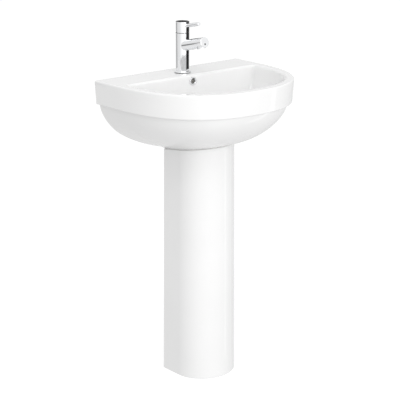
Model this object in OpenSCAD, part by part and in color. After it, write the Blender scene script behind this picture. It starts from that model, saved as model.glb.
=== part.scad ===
// Pedestal wash basin with a single-lever tap, a push-plug waste and a bottle trap.
// Millimetres. +Z is up, the floor is Z = 0, and the user stands on the -Y side.
// The origin is under the centre of the whole object, and the wall plane is Y = basin_d / 2.

/* [Basin] */
// Width of the rim from side to side
basin_w = 510; // [500:5:560]
// Depth of the basin from the wall to the front of the rim
basin_d = 385; // [380:5:430]
// Height of the rim above the floor
rim_z = 850; // [830:5:870]
// Height of the upright band round the rim
band_h = 66; // [55:1:75]
// How far the underside steps in below the band
band_step = 12; // [8:1:16]
// Length of the straight stretch of each side, from the wall forwards
basin_side = 88; // [80:1:120]
// Fullness of the rounded front: 2 is an ellipse, more is squarer
basin_round = 2.4; // [2.2:0.1:2.6]
// Thickness of the ceramic walls
wall = 12; // [10:1:14]

/* [Bowl] */
// Width of the bowl's mouth
bowl_w = 450; // [440:2:460]
// Flat deck between the wall and the bowl
deck_d = 108; // [106:1:116]
// Width of the flat land at the front of the rim
front_land = 29; // [26:1:36]
// Depth of the bowl below the rim
bowl_h = 138; // [130:1:140]
// Waste hole's distance behind the middle of the whole object
drain_y = 12; // [8:1:16]

/* [Pedestal] */
// Width of the pedestal at the floor
foot_w = 182; // [180:1:200]
// Depth of the pedestal at the floor
foot_d = 155; // [145:1:165]
// Width and depth at the top as a share of those at the floor
top_share = 0.96; // [0.94:0.01:1]
// Gap between the wall and the pedestal's back edge
back_gap = 84; // [80:1:95]
// Height of the pedestal's top edge at the back
seat_back_z = 650; // [640:1:655]
// How much higher the top edge is at the front
seat_rise = 20; // [15:1:25]

/* [Tap] */
// Diameter of the tap's body and handle
tap_d = 38; // [37:0.5:42]
// Height of the tap above the rim
tap_h = 142; // [140:1:160]
// Height of the handle cap
cap_h = 30; // [29:0.5:32]
// Distance from the wall to the tap's axis
tap_back = 64; // [62:1:66]
// Reach of the spout from the tap's axis
spout_reach = 98; // [94:1:110]
// Diameter of the spout
spout_d = 29; // [28:0.5:30]
// Upward slope of the spout, in degrees
spout_rise = 13; // [8:1:14]
// Reach of the lever pin from the tap's axis
lever_reach = 72; // [65:1:80]
// Upward slope of the lever pin, in degrees
lever_rise = 12; // [8:1:14]

/* [Hidden] */
$fn = 64;

// Lofts: points on the rounded front, on each side and along the back, and rings in a curve
ARC_STEPS = 28;
SIDE_STEPS = 3;
BACK_STEPS = 6;
RING_STEPS = 8;
// Overshoot of a cutting shape past the face that it cuts
CUT = 1;

// Basin and pedestal levels
wall_y = basin_d / 2;
band_z = rim_z - band_h;
band_draft = 4;
under_round = 1.6;
bowl_round = 2.6;
bowl_side = 20;
deck_t = 14;
floor_t = 14;
bowl_back_y = wall_y - deck_d;
bowl_d = basin_d - deck_d - front_land;
bowl_z = rim_z - bowl_h;
foot_side = 70;
foot_round = 2;
foot_back_y = wall_y - back_gap;
foot_mid_y = foot_back_y - foot_d / 2;
seat_slope = atan(seat_rise / foot_d);
lug_x = 63;
lug_y = 74;
lug_t = 14;
lug_hole_d = 8;
gasket_t = 3;
apron_z = 700;
rear_gap_w = 120;
ceramic = "white";
metal = "silver";

// Holes in the basin
tap_y = wall_y - tap_back;
tap_hole_d = 35;
drain_hole_d = 46;
drain_recess_d = 68;
drain_recess_h = 4;
overflow_z = rim_z - 18;
overflow_hole_d = 19;
duct_y = bowl_back_y + 15;
duct_d = 14;
duct_floor_z = bowl_z - 8.5;
fixing_x = 140;
fixing_z = 770;
fixing_hole_d = 14;

// Tap levels, all above the floor
seal_t = 1.5;
ring_t = 4;
tap_base_z = rim_z + seal_t + ring_t;
cap_z = rim_z + tap_h - cap_h;
cap_gap = 0.6;
pivot_z = cap_z - cap_gap / 2;
body_top_z = cap_z - cap_gap;
spout_z = rim_z + 74;
index_d = 4.8;
index_drop = 5;
lever_z = cap_z + 16;
lever_d = 10;
cartridge_z = body_top_z - 28;
cartridge_d = 32;
lift_max = 16;
tail_x = 8;
tail_d = 10;
stud_y = 9;
stud_d = 8;
ring_bore_d = 33;
pin_d = 3;
screw_y = 4.1;
tail_splay = 4;

// Waste and trap levels
flange_t = 3;
waste_seal_t = 1.5;
waste_tube_d = 42;
waste_bore_d = 36;
waste_low_z = 640;
flange_z = bowl_z - drain_recess_h + waste_seal_t;
trap_z = 590;
outlet_z = 560;
pipe_d = 32;
spigot_l = 45;

// ---- Outlines and lofts -------------------------------------------------------------

// Plan outline, flat along the back at y_back, straight sides, and a rounded front
function d_outline(w, d, side, round, y_back) = concat(
    [for (i = [0:ARC_STEPS]) let (a = 180 * i / ARC_STEPS)
        [-w / 2 * sign(cos(a)) * pow(abs(cos(a)), 2 / round),
         y_back - side - (d - side) * pow(sin(a), 2 / round)]],
    [for (i = [1:SIDE_STEPS]) [w / 2, y_back - side * (1 - i / SIDE_STEPS)]],
    [for (i = [1:BACK_STEPS]) [w / 2 - w * i / BACK_STEPS, y_back]],
    [for (i = [1:SIDE_STEPS - 1]) [-w / 2, y_back - side * i / SIDE_STEPS]]
);

function flat_ring(outline, z) = [for (p = outline) [p[0], p[1], z]];

// Height of the sloping joint between the basin and the pedestal
function seat_z(y) = seat_back_z + (foot_back_y - y) * tan(seat_slope);

// Rings from an upper outline to a lower one along a rounded section
function curve_rings(upper, lower, z_top, z_low, round) = [
    for (k = [0:RING_STEPS]) let (
        a = 90 * k / RING_STEPS,
        out = pow(cos(a), 2 / round),
        down = pow(sin(a), 2 / round)
    ) [for (i = [0:len(upper) - 1]) [
        lower[i][0] + (upper[i][0] - lower[i][0]) * out,
        lower[i][1] + (upper[i][1] - lower[i][1]) * out,
        z_top + (z_low[i] - z_top) * down
    ]]
];

// Closed solid through rings of points, the highest ring first
module loft(rings) {
    n = len(rings[0]);
    last = (len(rings) - 1) * n;
    sides = [for (k = [0:len(rings) - 2]) for (i = [0:n - 1])
        let (a = k * n + i, b = k * n + (i + 1) % n) each [[a, b, b + n], [a, b + n, a + n]]];
    caps = [[for (i = [0:n - 1]) n - 1 - i], [for (i = [0:n - 1]) last + i]];
    polyhedron([for (r = rings) each r], concat(caps, sides), convexity = 6);
}

// ---- Small repeated shapes ----------------------------------------------------------

module tube(d_out, d_in, h) {
    difference() {
        cylinder(d = d_out, h = h);
        translate([0, 0, -CUT]) cylinder(d = d_in, h = h + 2 * CUT);
    }
}

// Six-sided nut with a round hole
module hex_nut(across, d_in, h) {
    difference() {
        cylinder(d = across / cos(30), h = h, $fn = 6);
        translate([0, 0, -CUT]) cylinder(d = d_in, h = h + 2 * CUT);
    }
}

// Hand-tightened nut with grip ribs
module ribbed_nut(d_out, d_in, h, ribs = 12) {
    difference() {
        union() {
            cylinder(d = d_out, h = h);
            for (i = [0:ribs - 1])
                rotate(360 * i / ribs) translate([d_out / 2 - 1, -2, 0]) cube([3, 4, h]);
        }
        translate([0, 0, -CUT]) cylinder(d = d_in, h = h + 2 * CUT);
    }
}

// Cylinder with a bevelled top edge
module bevelled(d, h, bevel) {
    rotate_extrude()
        polygon([[0, 0], [d / 2, 0], [d / 2, h - bevel], [d / 2 - bevel, h], [0, h]]);
}

module at_tap(z) {
    translate([0, tap_y, z]) children();
}

module at_drain(z) {
    translate([0, drain_y, z]) children();
}

// Local +Z points along the spout, out of the tap's axis
module along_spout() {
    at_tap(spout_z) rotate([90 - spout_rise, 0, 0]) children();
}

// Local +Z points along the lever pin
module along_lever() {
    at_tap(lever_z) rotate([90 - lever_rise, 0, 0]) children();
}

// Local +Z points down along a supply tail, which leans outwards from inside the tap's base
module along_tail(side) {
    at_tap(tap_base_z + 20) translate([side * tail_x, -4, 0])
        rotate([0, 180 - side * tail_splay, 0]) children();
}

// Local +Z points from the trap's outlet towards the wall
module along_outlet() {
    translate([0, drain_y, outlet_z]) rotate([-90, 0, 0]) children();
}

// Half-space above the sloping joint, raised by lift
module above_seat(lift) {
    translate([0, foot_back_y, seat_back_z + lift])
        rotate([-seat_slope, 0, 0])
            translate([-200, -300, 0]) cube([400, 500, 200]);
}

// ---- Ceramic ------------------------------------------------------------------------

// Plan outline of the basin's lower end, round the pedestal's top
function seat_outline(inset) = d_outline(
    foot_w * top_share + 6 - 2 * inset, foot_d * top_share + 6 - 2 * inset,
    foot_side * top_share + 3 - inset, foot_round, foot_mid_y + foot_d * top_share / 2 + 3 - inset);

// Share of the way out from the lower end, for a point at y on the upper outline: the front and
// sides follow the rounded section, and the back stays on the wall down to the apron's edge
function out_share(y, out, down) = let (
    apron = (band_z - apron_z) / (band_z - seat_back_z),
    past = max(0, down - apron) / (1 - apron),
    back = sqrt(max(0, 1 - past * past)),
    along = max(0, min(1, (y - wall_y + basin_side) / basin_side))
) out + (back - out) * along;

// Rings of the underside, from below the band to the pedestal
function under_rings(upper, lower, z_top, z_rise) = [
    for (k = [0:RING_STEPS]) let (
        a = 90 * k / RING_STEPS,
        out = pow(cos(a), 2 / under_round),
        down = pow(sin(a), 2 / under_round)
    ) [for (i = [0:len(upper) - 1]) [
        lower[i][0] + (upper[i][0] - lower[i][0]) * out,
        lower[i][1] + (upper[i][1] - lower[i][1]) * out_share(upper[i][1], out, down),
        z_top + (seat_z(lower[i][1]) + z_rise - z_top) * down
    ]]
];

// Outer envelope of the basin, or the same form drawn in by inset
module basin_form(inset, z_top) {
    w = basin_w - 2 * inset;
    d = basin_d - 2 * inset;
    y_back = wall_y - inset;
    step = band_draft + band_step;
    rim = d_outline(w, d, basin_side, basin_round, y_back);
    band = d_outline(w - 2 * band_draft, d - band_draft, basin_side, basin_round, y_back);
    under = d_outline(w - 2 * step, d - step, basin_side, basin_round, y_back);
    loft(concat(
        [flat_ring(rim, z_top), flat_ring(band, band_z + inset)],
        under_rings(under, seat_outline(inset), band_z - 2 + inset, gasket_t + inset)
    ));
}

// The bowl's inside, or its outer skin when grown by a wall thickness
module bowl_form(grow, z_top, z_low) {
    mouth = d_outline(bowl_w + 2 * grow, bowl_d + 2 * grow, bowl_side + grow, basin_round,
        bowl_back_y + grow);
    bottom = d_outline(90 + 2 * grow, 80 + 2 * grow, 20, 2, drain_y + 40 + grow);
    low = [for (p = bottom) z_low];
    loft(concat([flat_ring(mouth, z_top)], curve_rings(mouth, bottom, rim_z - 4, low, bowl_round)));
}

// Ways out of the hollow underside: down into the pedestal, and down behind it for the tails
module under_openings() {
    translate([0, 0, 600]) linear_extrude(bowl_z - 600) polygon(seat_outline(wall + 1));
    translate([-rear_gap_w / 2, foot_back_y - 25, 600])
        cube([rear_gap_w, wall_y - wall - foot_back_y + 25, apron_z + wall + 4 - 600]);
}

// Upright rib and floor rib that hold the overflow duct
module overflow_ribs() {
    translate([-15, bowl_back_y - 2, bowl_z - floor_t]) cube([30, 30, bowl_h]);
    translate([-15, drain_y, bowl_z - floor_t]) cube([30, duct_y - drain_y, floor_t]);
}

module overflow_duct() {
    translate([0, duct_y, overflow_z]) rotate([90, 0, 0]) cylinder(d = overflow_hole_d, h = 40);
    translate([0, duct_y, duct_floor_z]) cylinder(d = duct_d, h = overflow_z + 8 - duct_floor_z);
    translate([0, duct_y, duct_floor_z]) rotate([90, 0, 0]) cylinder(d = 8, h = duct_y - drain_y);
}

// Everything of the basin but its drilled holes
module basin_shell() {
    difference() {
        basin_form(0, rim_z);
        difference() {
            union() {
                basin_form(wall, rim_z - deck_t);
                under_openings();
            }
            bowl_form(wall, rim_z, bowl_z - floor_t);
            overflow_ribs();
        }
        bowl_form(0, rim_z + CUT, bowl_z);
        at_drain(bowl_z - drain_recess_h) cylinder(d = drain_recess_d, h = 20);
    }
}

module basin() {
    color(ceramic) difference() {
        resize([basin_w, basin_d, 0]) basin_shell();
        at_tap(rim_z - deck_t - CUT) cylinder(d = tap_hole_d, h = deck_t + 2 * CUT);
        at_drain(bowl_z - 30) cylinder(d = drain_hole_d, h = 60);
        overflow_duct();
        for (x = [-fixing_x, fixing_x])
            translate([x, wall_y + CUT, fixing_z]) rotate([90, 0, 0])
                cylinder(d = fixing_hole_d, h = wall + 2 * CUT);
    }
}

// Plan outline of the pedestal, drawn in by inset and shrunk by share
function pedestal_outline(inset, y_extra, share) = [
    for (p = d_outline(foot_w - 2 * inset, foot_d - inset + y_extra, foot_side + y_extra,
        foot_round, foot_back_y + y_extra))
        [p[0] * share, foot_mid_y + (p[1] - foot_mid_y) * share]
];

// Pedestal form, tapering from z_low to above the joint
module pedestal_form(inset, z_low, y_extra) {
    z_top = 700;
    share = 1 - (1 - top_share) * z_top / seat_back_z;
    loft([flat_ring(pedestal_outline(inset, y_extra, share), z_top),
        flat_ring(pedestal_outline(inset, y_extra, 1), z_low)]);
}

// Slice of the pedestal's form along the sloping joint
module seat_slice(inset, low, high, y_extra) {
    outline = pedestal_outline(inset, y_extra, top_share);
    loft([for (lift = [high, low]) [for (p = outline) [p[0], p[1], seat_z(p[1]) + lift]]]);
}

// The open-backed column with a lug on each side for a floor screw
module pedestal_shell() {
    difference() {
        union() {
            difference() {
                pedestal_form(0, 0, 0);
                pedestal_form(wall, -CUT, 40);
            }
            for (x = [-lug_x, lug_x])
                translate([x - 19, lug_y - 16, 0]) cube([38, 32, lug_t]);
        }
        above_seat(0);
    }
}

module pedestal() {
    color(ceramic) difference() {
        resize([foot_w, 0, 0]) pedestal_shell();
        for (x = [-lug_x, lug_x])
            translate([x, lug_y, -CUT]) cylinder(d = lug_hole_d, h = 20);
    }
}

module joint_gasket() {
    inset = 3;
    color("whitesmoke") difference() {
        seat_slice(inset, 0, gasket_t, 0);
        seat_slice(wall - inset, -CUT, gasket_t + CUT, 40);
    }
}

// ---- Tap, fixed parts ---------------------------------------------------------------

module tap_body() {
    color(metal) difference() {
        union() {
            at_tap(tap_base_z) cylinder(d = tap_d, h = body_top_z - tap_base_z);
            along_spout() bevelled(spout_d, spout_reach, 1.5);
        }
        at_tap(cartridge_z) cylinder(d = cartridge_d + 0.6, h = 60);
        at_tap(spout_z) cylinder(d = 14, h = 30);
        along_spout() cylinder(d = 15, h = spout_reach - 8.5);
        along_spout() translate([0, -index_drop, spout_reach - 3]) cylinder(d = index_d + 0.2, h = 10);
        aerator_pocket();
        for (side = [-1, 1])
            along_tail(side) translate([0, 0, -8]) cylinder(d = tail_d + 0.4, h = 40);
        at_tap(tap_base_z - CUT) translate([0, stud_y, 0]) cylinder(d = stud_d + 0.2, h = 22);
    }
}

module aerator_axis() {
    along_spout() translate([0, 0, spout_reach - 18]) rotate([90, 0, 0]) children();
}

module aerator_pocket() {
    aerator_axis() translate([0, 0, 2]) cylinder(d = 24, h = 30);
}

module tap_base_ring() {
    color(metal) at_tap(rim_z + seal_t) difference() {
        bevelled(47, ring_t, 1);
        translate([0, 0, -CUT]) cylinder(d = ring_bore_d, h = 10);
    }
}

module tap_base_seal() {
    color("dimgray") at_tap(rim_z) tube(44, ring_bore_d, seal_t);
}

module spout_index() {
    color("dimgray") along_spout() translate([0, -index_drop, spout_reach - 3])
        cylinder(d = index_d, h = 2.8);
}

module aerator_housing() {
    color(metal) aerator_axis() translate([0, 0, 8]) tube(23.6, 19, spout_d / 2 - 6.5);
}

module aerator_insert() {
    color("dimgray") aerator_axis() translate([0, 0, 9]) difference() {
        cylinder(d = 18.6, h = 6);
        for (r = [3.5, 6.5])
            for (i = [0:7])
                rotate(45 * i + 8 * r) translate([r, 0, 2]) cylinder(d = 1.6, h = 10, $fn = 16);
    }
}

module cartridge() {
    color("gainsboro") at_tap(cartridge_z + 0.3) difference() {
        union() {
            cylinder(d = cartridge_d, h = 15);
            cylinder(d = 25, h = 22);
        }
        translate([0, 0, 10]) cylinder(d = 20, h = 20);
    }
}

module cartridge_nut() {
    color("goldenrod") at_tap(cartridge_z + 15.6) difference() {
        tube(cartridge_d, 25.6, 7);
        for (i = [0:3])
            rotate(90 * i) translate([0, -2, 4]) cube([30, 4, 10]);
    }
}

module fixing_stud() {
    color("goldenrod") at_tap(rim_z - 62) translate([0, stud_y, 0])
        cylinder(d = stud_d, h = 62 + seal_t + ring_t + 18);
}

// Horseshoe that slips round the two tails and the stud
module horseshoe(h) {
    difference() {
        cylinder(d = 46, h = h);
        translate([0, stud_y, -CUT]) cylinder(d = stud_d + 0.6, h = h + 2 * CUT);
        translate([-18, -30, -CUT]) cube([36, 32, h + 2 * CUT]);
    }
}

module horseshoe_rubber() {
    color("dimgray") at_tap(rim_z - deck_t - 3) horseshoe(3);
}

module horseshoe_plate() {
    color(metal) at_tap(rim_z - deck_t - 5.5) horseshoe(2.5);
}

module stud_nut() {
    color("goldenrod") at_tap(rim_z - deck_t - 16.5) translate([0, stud_y, 0]) hex_nut(13, stud_d, 11);
}

// Copper tail with a wider end for a coupling
module supply_tail(side) {
    color("peru") along_tail(side) {
        cylinder(d = tail_d, h = 270);
        translate([0, 0, 265]) cylinder(d = 15, h = 45);
    }
}

module supply_tail_hot() { supply_tail(-1); }

module supply_tail_cold() { supply_tail(1); }

// ---- Tap, moving parts --------------------------------------------------------------

module swivel_carrier() {
    top_z = pivot_z + 5;
    low_z = cartridge_z + 10.5;
    color("ivory") difference() {
        at_tap(low_z) cylinder(d = 19.9, h = top_z - low_z);
        at_tap(low_z + 3) translate([-4.2, -15, 0]) cube([8.4, 30, 60]);
        at_tap(pivot_z) rotate([0, 90, 0]) cylinder(d = pin_d, h = 40, center = true);
    }
}

module lever_pivot_pin() {
    color("slategray") at_tap(pivot_z) rotate([0, 90, 0]) cylinder(d = pin_d, h = 19, center = true);
}

module lever_stem() {
    low_z = cartridge_z + 15;
    color("slategray") difference() {
        at_tap(low_z) translate([-4, -4, 0]) cube([8, 8, cap_z + 22 - low_z]);
        at_tap(pivot_z) rotate([0, 90, 0]) cylinder(d = pin_d + 0.1, h = 40, center = true);
    }
}

module handle_cap() {
    color(metal) difference() {
        at_tap(cap_z) bevelled(tap_d, cap_h, 1);
        at_tap(cap_z - CUT) cylinder(d = 30, h = 11 + CUT);
        at_tap(cap_z) translate([-4.1, -4.1, 0]) cube([8.2, 8.2, 22.1]);
        // Rear of the lower edge, sloped so that the handle can tip back
        at_tap(pivot_z) rotate([lift_max + 2, 0, 0]) translate([-40, 0, -60]) cube([80, 60, 60]);
        along_lever() translate([0, 0, 11.8]) cylinder(d = lever_d, h = 60);
        at_tap(lever_z) rotate([-90, 0, 0]) cylinder(d = 5, h = 40);
    }
}

module lever_pin() {
    color(metal) along_lever() translate([0, 0, 12])
        bevelled(lever_d, lever_reach / cos(lever_rise) - 12, 1);
}

module handle_grub_screw() {
    color("dimgray") at_tap(lever_z) translate([0, screw_y, 0]) rotate([-90, 0, 0]) difference() {
        cylinder(d = 4.9, h = 12);
        translate([0, 0, 10]) cylinder(d = 2.9, h = 10, $fn = 6);
    }
}

// ---- Overflow and waste -------------------------------------------------------------

module overflow_ring() {
    front_y = bowl_back_y - 0.8;
    color(metal) translate([0, front_y, overflow_z]) rotate([90, 0, 0]) difference() {
        union() {
            rotate_extrude() polygon([[7, 0], [12, 0], [12, 1], [11, 2.4], [8, 2.4], [7, 1.6]]);
            translate([0, 0, -10]) cylinder(d = overflow_hole_d - 0.6, h = 11);
        }
        translate([0, 0, -20]) cylinder(d = 14.6, h = 40);
    }
}

module waste_body() {
    color(metal) difference() {
        union() {
            at_drain(flange_z) cylinder(d = 64, h = flange_t);
            at_drain(waste_low_z) cylinder(d = waste_tube_d, h = flange_z - waste_low_z + CUT);
        }
        difference() {
            at_drain(waste_low_z - CUT) cylinder(d = waste_bore_d, h = 200);
            for (a = [30, 150, 270])
                at_drain(bowl_z - 34) rotate(a) translate([0, -2, 0]) cube([20, 4, 8]);
            at_drain(bowl_z - 34) cylinder(d = 18, h = 8);
        }
        at_drain(bowl_z - 40) cylinder(d = 12.4, h = 20);
        for (a = [0, 90, 180, 270])
            at_drain(bowl_z - 13) rotate(a) translate([10, -6, 0]) cube([20, 12, 8]);
    }
}

module waste_seal_upper() {
    color("dimgray") at_drain(bowl_z - drain_recess_h) tube(62, waste_tube_d + 0.4, waste_seal_t);
}

module waste_seal_lower() {
    color("dimgray") at_drain(bowl_z - floor_t - 5) tube(60, waste_tube_d + 0.4, 5);
}

module waste_backnut() {
    color(metal) at_drain(bowl_z - floor_t - 14) hex_nut(54, waste_tube_d, 9);
}

module click_cartridge() {
    color("ivory") at_drain(bowl_z - 44) tube(12.2, 6.2, 24);
}

module plug_rod() {
    color("gainsboro") at_drain(bowl_z - 40) cylinder(d = 6.1, h = 40);
}

module waste_plug() {
    color(metal) at_drain(bowl_z + 0.8) difference() {
        union() {
            rotate_extrude() polygon([[0, 0], [29, 0], [30, 1], [30, 2.6], [27, 4.4], [18, 6], [0, 7]]);
            translate([0, 0, -9]) cylinder(d = 12, h = 10);
        }
        translate([0, 0, -10]) cylinder(d = 6.1, h = 9.2);
    }
}

module plug_seal() {
    color("dimgray") at_drain(bowl_z - 1.2) tube(34.6, 12, 2);
}

// ---- Trap ---------------------------------------------------------------------------

module trap_inlet_nut() {
    color("gainsboro") difference() {
        at_drain(waste_low_z - 22) ribbed_nut(58, waste_tube_d + 0.6, 28);
        at_drain(waste_low_z - 23) cylinder(d = 48.6, h = 23);
    }
}

module trap_inlet_washer() {
    color("dimgray") at_drain(waste_low_z - 4.5) tube(48, 36, 4);
}

// Bottle: the inlet tube hangs inside, and the outlet leaves at the side
module trap_body() {
    side_d = 40;
    color("gainsboro") difference() {
        union() {
            at_drain(trap_z - 60) cylinder(d = 64, h = 74);
            at_drain(trap_z + 13) cylinder(d = 48, h = waste_low_z - 5 - trap_z - 13);
            along_outlet() cylinder(d = side_d, h = 58);
        }
        difference() {
            at_drain(trap_z - 70) cylinder(d = 58, h = 80);
            at_drain(trap_z - 50) cylinder(d = 38, h = 80);
        }
        at_drain(trap_z - 80) cylinder(d = 32, h = 200);
        translate([0, 30, 0]) along_outlet() cylinder(d = 32.6, h = 60);
    }
}

module trap_cup() {
    color("gainsboro") at_drain(trap_z - 112) difference() {
        union() {
            rotate_extrude() polygon([[0, 0], [27, 0], [32, 5], [32, 48], [0, 48]]);
            translate([0, 0, 30]) ribbed_nut(71, 40, 30);
        }
        translate([0, 0, 5]) cylinder(d = 54, h = 60);
        translate([0, 0, 49]) cylinder(d = 64.6, h = 20);
    }
}

module trap_cup_seal() {
    color("dimgray") at_drain(trap_z - 63) tube(63, 57, 3);
}

module trap_outlet_nut() {
    color("gainsboro") along_outlet() translate([0, 0, 46]) ribbed_nut(46, 40.6, 18);
}

module trap_outlet_washer() {
    color("dimgray") along_outlet() translate([0, 0, 58.5]) tube(40, pipe_d + 0.2, 4);
}

// Outlet pipe with a stop bead that keeps a coupling on its last stretch
module waste_pipe() {
    far = wall_y - drain_y;
    color("gainsboro") along_outlet() difference() {
        union() {
            translate([0, 0, 44]) cylinder(d = pipe_d, h = far - 44);
            translate([0, 0, far - spigot_l - 3]) cylinder(d = pipe_d + 3, h = 3);
        }
        cylinder(d = 28, h = far + CUT);
    }
}

basin();
pedestal();
joint_gasket();
tap_body();
tap_base_ring();
tap_base_seal();
spout_index();
aerator_housing();
aerator_insert();
cartridge();
cartridge_nut();
swivel_carrier();
lever_pivot_pin();
lever_stem();
handle_cap();
lever_pin();
handle_grub_screw();
fixing_stud();
horseshoe_rubber();
horseshoe_plate();
stud_nut();
supply_tail_hot();
supply_tail_cold();
overflow_ring();
waste_body();
waste_seal_upper();
waste_seal_lower();
waste_backnut();
click_cartridge();
plug_rod();
waste_plug();
plug_seal();
trap_inlet_nut();
trap_inlet_washer();
trap_body();
trap_cup();
trap_cup_seal();
trap_outlet_nut();
trap_outlet_washer();
waste_pipe();
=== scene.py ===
import math

import bmesh
import bpy
from mathutils import Matrix, Vector


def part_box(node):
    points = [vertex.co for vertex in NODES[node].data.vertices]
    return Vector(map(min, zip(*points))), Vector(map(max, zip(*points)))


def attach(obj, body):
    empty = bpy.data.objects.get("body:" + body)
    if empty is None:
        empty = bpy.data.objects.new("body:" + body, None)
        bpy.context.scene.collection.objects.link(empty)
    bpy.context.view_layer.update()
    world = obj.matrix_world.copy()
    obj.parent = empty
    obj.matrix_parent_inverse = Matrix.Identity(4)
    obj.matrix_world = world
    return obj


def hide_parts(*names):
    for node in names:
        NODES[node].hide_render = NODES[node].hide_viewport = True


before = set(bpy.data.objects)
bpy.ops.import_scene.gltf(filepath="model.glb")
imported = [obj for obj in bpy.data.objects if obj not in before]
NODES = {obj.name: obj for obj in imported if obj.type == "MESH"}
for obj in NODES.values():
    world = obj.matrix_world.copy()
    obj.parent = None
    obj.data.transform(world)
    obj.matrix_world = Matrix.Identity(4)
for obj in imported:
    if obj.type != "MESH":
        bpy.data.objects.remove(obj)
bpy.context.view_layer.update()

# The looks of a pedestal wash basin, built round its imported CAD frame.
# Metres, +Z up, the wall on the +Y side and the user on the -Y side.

SCENE = bpy.context.scene

# ---- Sizes that the frame gives -------------------------------------------------------

BASIN_LOW, BASIN_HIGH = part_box("basin")
BASIN_W = BASIN_HIGH.x - BASIN_LOW.x
BASIN_D = BASIN_HIGH.y - BASIN_LOW.y
WALL_Y = BASIN_HIGH.y
RIM_Z = BASIN_HIGH.z

FOOT_LOW, FOOT_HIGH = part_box("pedestal")
FOOT_W = FOOT_HIGH.x - FOOT_LOW.x
FOOT_D = FOOT_HIGH.y - FOOT_LOW.y
FOOT_BACK_Y = FOOT_HIGH.y
FOOT_MID_Y = (FOOT_LOW.y + FOOT_HIGH.y) / 2

RING_LOW, RING_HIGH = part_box("tap_base_ring")
TAP_Y = (RING_LOW.y + RING_HIGH.y) / 2
TAP_BASE_Z = RING_HIGH.z
TAP_LOW, TAP_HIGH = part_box("tap_body")
TAP_R = (TAP_HIGH.x - TAP_LOW.x) / 2
CAP_LOW, CAP_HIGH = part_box("handle_cap")
PIN_LOW, PIN_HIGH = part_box("lever_pivot_pin")
PIVOT_Z = (PIN_LOW.z + PIN_HIGH.z) / 2

PLUG_LOW, PLUG_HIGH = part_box("waste_plug")
DRAIN_Y = (PLUG_LOW.y + PLUG_HIGH.y) / 2
OVERFLOW_LOW, OVERFLOW_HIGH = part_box("overflow_ring")
OVERFLOW_Z = (OVERFLOW_LOW.z + OVERFLOW_HIGH.z) / 2

# ---- Sizes of the ceramic -------------------------------------------------------------

# The shell's thickness, and the band under the rim
WALL = 0.012
BAND_Z = RIM_Z - 0.066
BAND_DRAFT = 0.004
BAND_STEP = 0.012
BAND_DIP = 0.002
BASIN_SIDE = 0.088
BASIN_POWER = 2.4
RIM_ROUND = 0.0045
BAND_ROUND = 0.003
WALL_ROUND = 0.003

# The tap deck, the bowl, its floor and the recess for the waste
DECK_D = 0.108
FRONT_LAND = 0.029
BOWL_W = 0.450
BOWL_BACK_Y = WALL_Y - DECK_D
BOWL_D = BASIN_D - DECK_D - FRONT_LAND
BOWL_Z = RIM_Z - 0.138
BOWL_TOP_Z = RIM_Z - 0.004
BOWL_SIDE = 0.020
BOWL_POWER = 2.6
MOUTH_ROUND = 0.007
MOUTH_CORNER = 0.008
FLOOR_W = 0.090
FLOOR_D = 0.080
FLOOR_SIDE = 0.020
FLOOR_CORNER = 0.012
FLOOR_BACK_Y = DRAIN_Y + FLOOR_D / 2
FLOOR_T = 0.014
DECK_T = 0.014
RECESS_R = 0.034
RECESS_H = 0.004
RECESS_ROUND = 0.0015
RECESS_SAG = 0.0002

# The underside, the sloping seat, and the column with its lugs
UNDER_POWER = 1.6
APRON_Z = 0.700
SEAT_BACK_Z = 0.650
SEAT_TAN = 0.020 / FOOT_D
GASKET_T = 0.003
SEAT_ROUND = 0.002
SEAT_EDGE = 0.003
TOP_SHARE = 0.96
TAPER = (1 - TOP_SHARE) / SEAT_BACK_Z
FOOT_SIDE = 0.070
FOOT_ROUND = 0.0025
LUG_X = 0.063
LUG_Y = 0.074
LUG_SIZE = (0.038, 0.032, 0.014)
LUG_ROUND = 0.003

# The hollow under the bowl, with the gap at its back and the ribs that carry the overflow's duct
HOLLOW_LOW = 0.60
REAR_GAP_W = 0.120
REAR_GAP_IN = 0.025
REAR_GAP_ROUND = 0.006
REAR_GAP_RISE = 0.004
RIB_W = 0.030
RIB_BACK = 0.013
RIB_ROUND = 0.003
DUCT_Y = BOWL_BACK_Y + 0.015
DUCT_R = 0.007
DUCT_RISE = 0.008
DUCT_FLOOR_Z = BOWL_Z - 0.0085
DUCT_FLOOR_R = 0.004

# Round holes in the ceramic
TAP_HOLE_R = 0.0175
DRAIN_HOLE_R = 0.023
OVERFLOW_HOLE_R = 0.0095
BOLT_X = 0.140
BOLT_Z = 0.770
BOLT_HOLE_R = 0.007
SCREW_HOLE_R = 0.004

# Steps along an outline: the rounded front, each side, each back corner, and the back
ARC_STEPS = 144
SIDE_STEPS = 8
CORNER_STEPS = 6
BACK_STEPS = 24
# Rings down the bowl and the underside, and along a small rounded edge
CURVE_STEPS = 44
EDGE_STEPS = 5
# How far a cutter overlaps its neighbour, how deep a through hole's cutter goes, and how far it stands out
OVERSHOOT = 0.001
CUT_DEPTH = 0.03
CUT_SPARE = 0.01


# ---- Meshes ---------------------------------------------------------------------------

SHARP_ANGLE = math.radians(35)


def lerp(a, b, t):
    return a + (b - a) * t


def quarter(steps):
    """(sine, cosine) pairs over a quarter turn."""
    return [(math.sin(math.pi / 2 * k / steps), math.cos(math.pi / 2 * k / steps)) for k in range(steps + 1)]


def object_from(name, verts, faces, material_index=0):
    mesh = bpy.data.meshes.new(name)
    mesh.from_pydata(verts, [], faces)
    shape = bmesh.new()
    shape.from_mesh(mesh)
    bmesh.ops.recalc_face_normals(shape, faces=shape.faces)
    for face in shape.faces:
        face.material_index = material_index
    shape.to_mesh(mesh)
    shape.free()
    piece = bpy.data.objects.new(name, mesh)
    SCENE.collection.objects.link(piece)
    return piece


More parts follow.
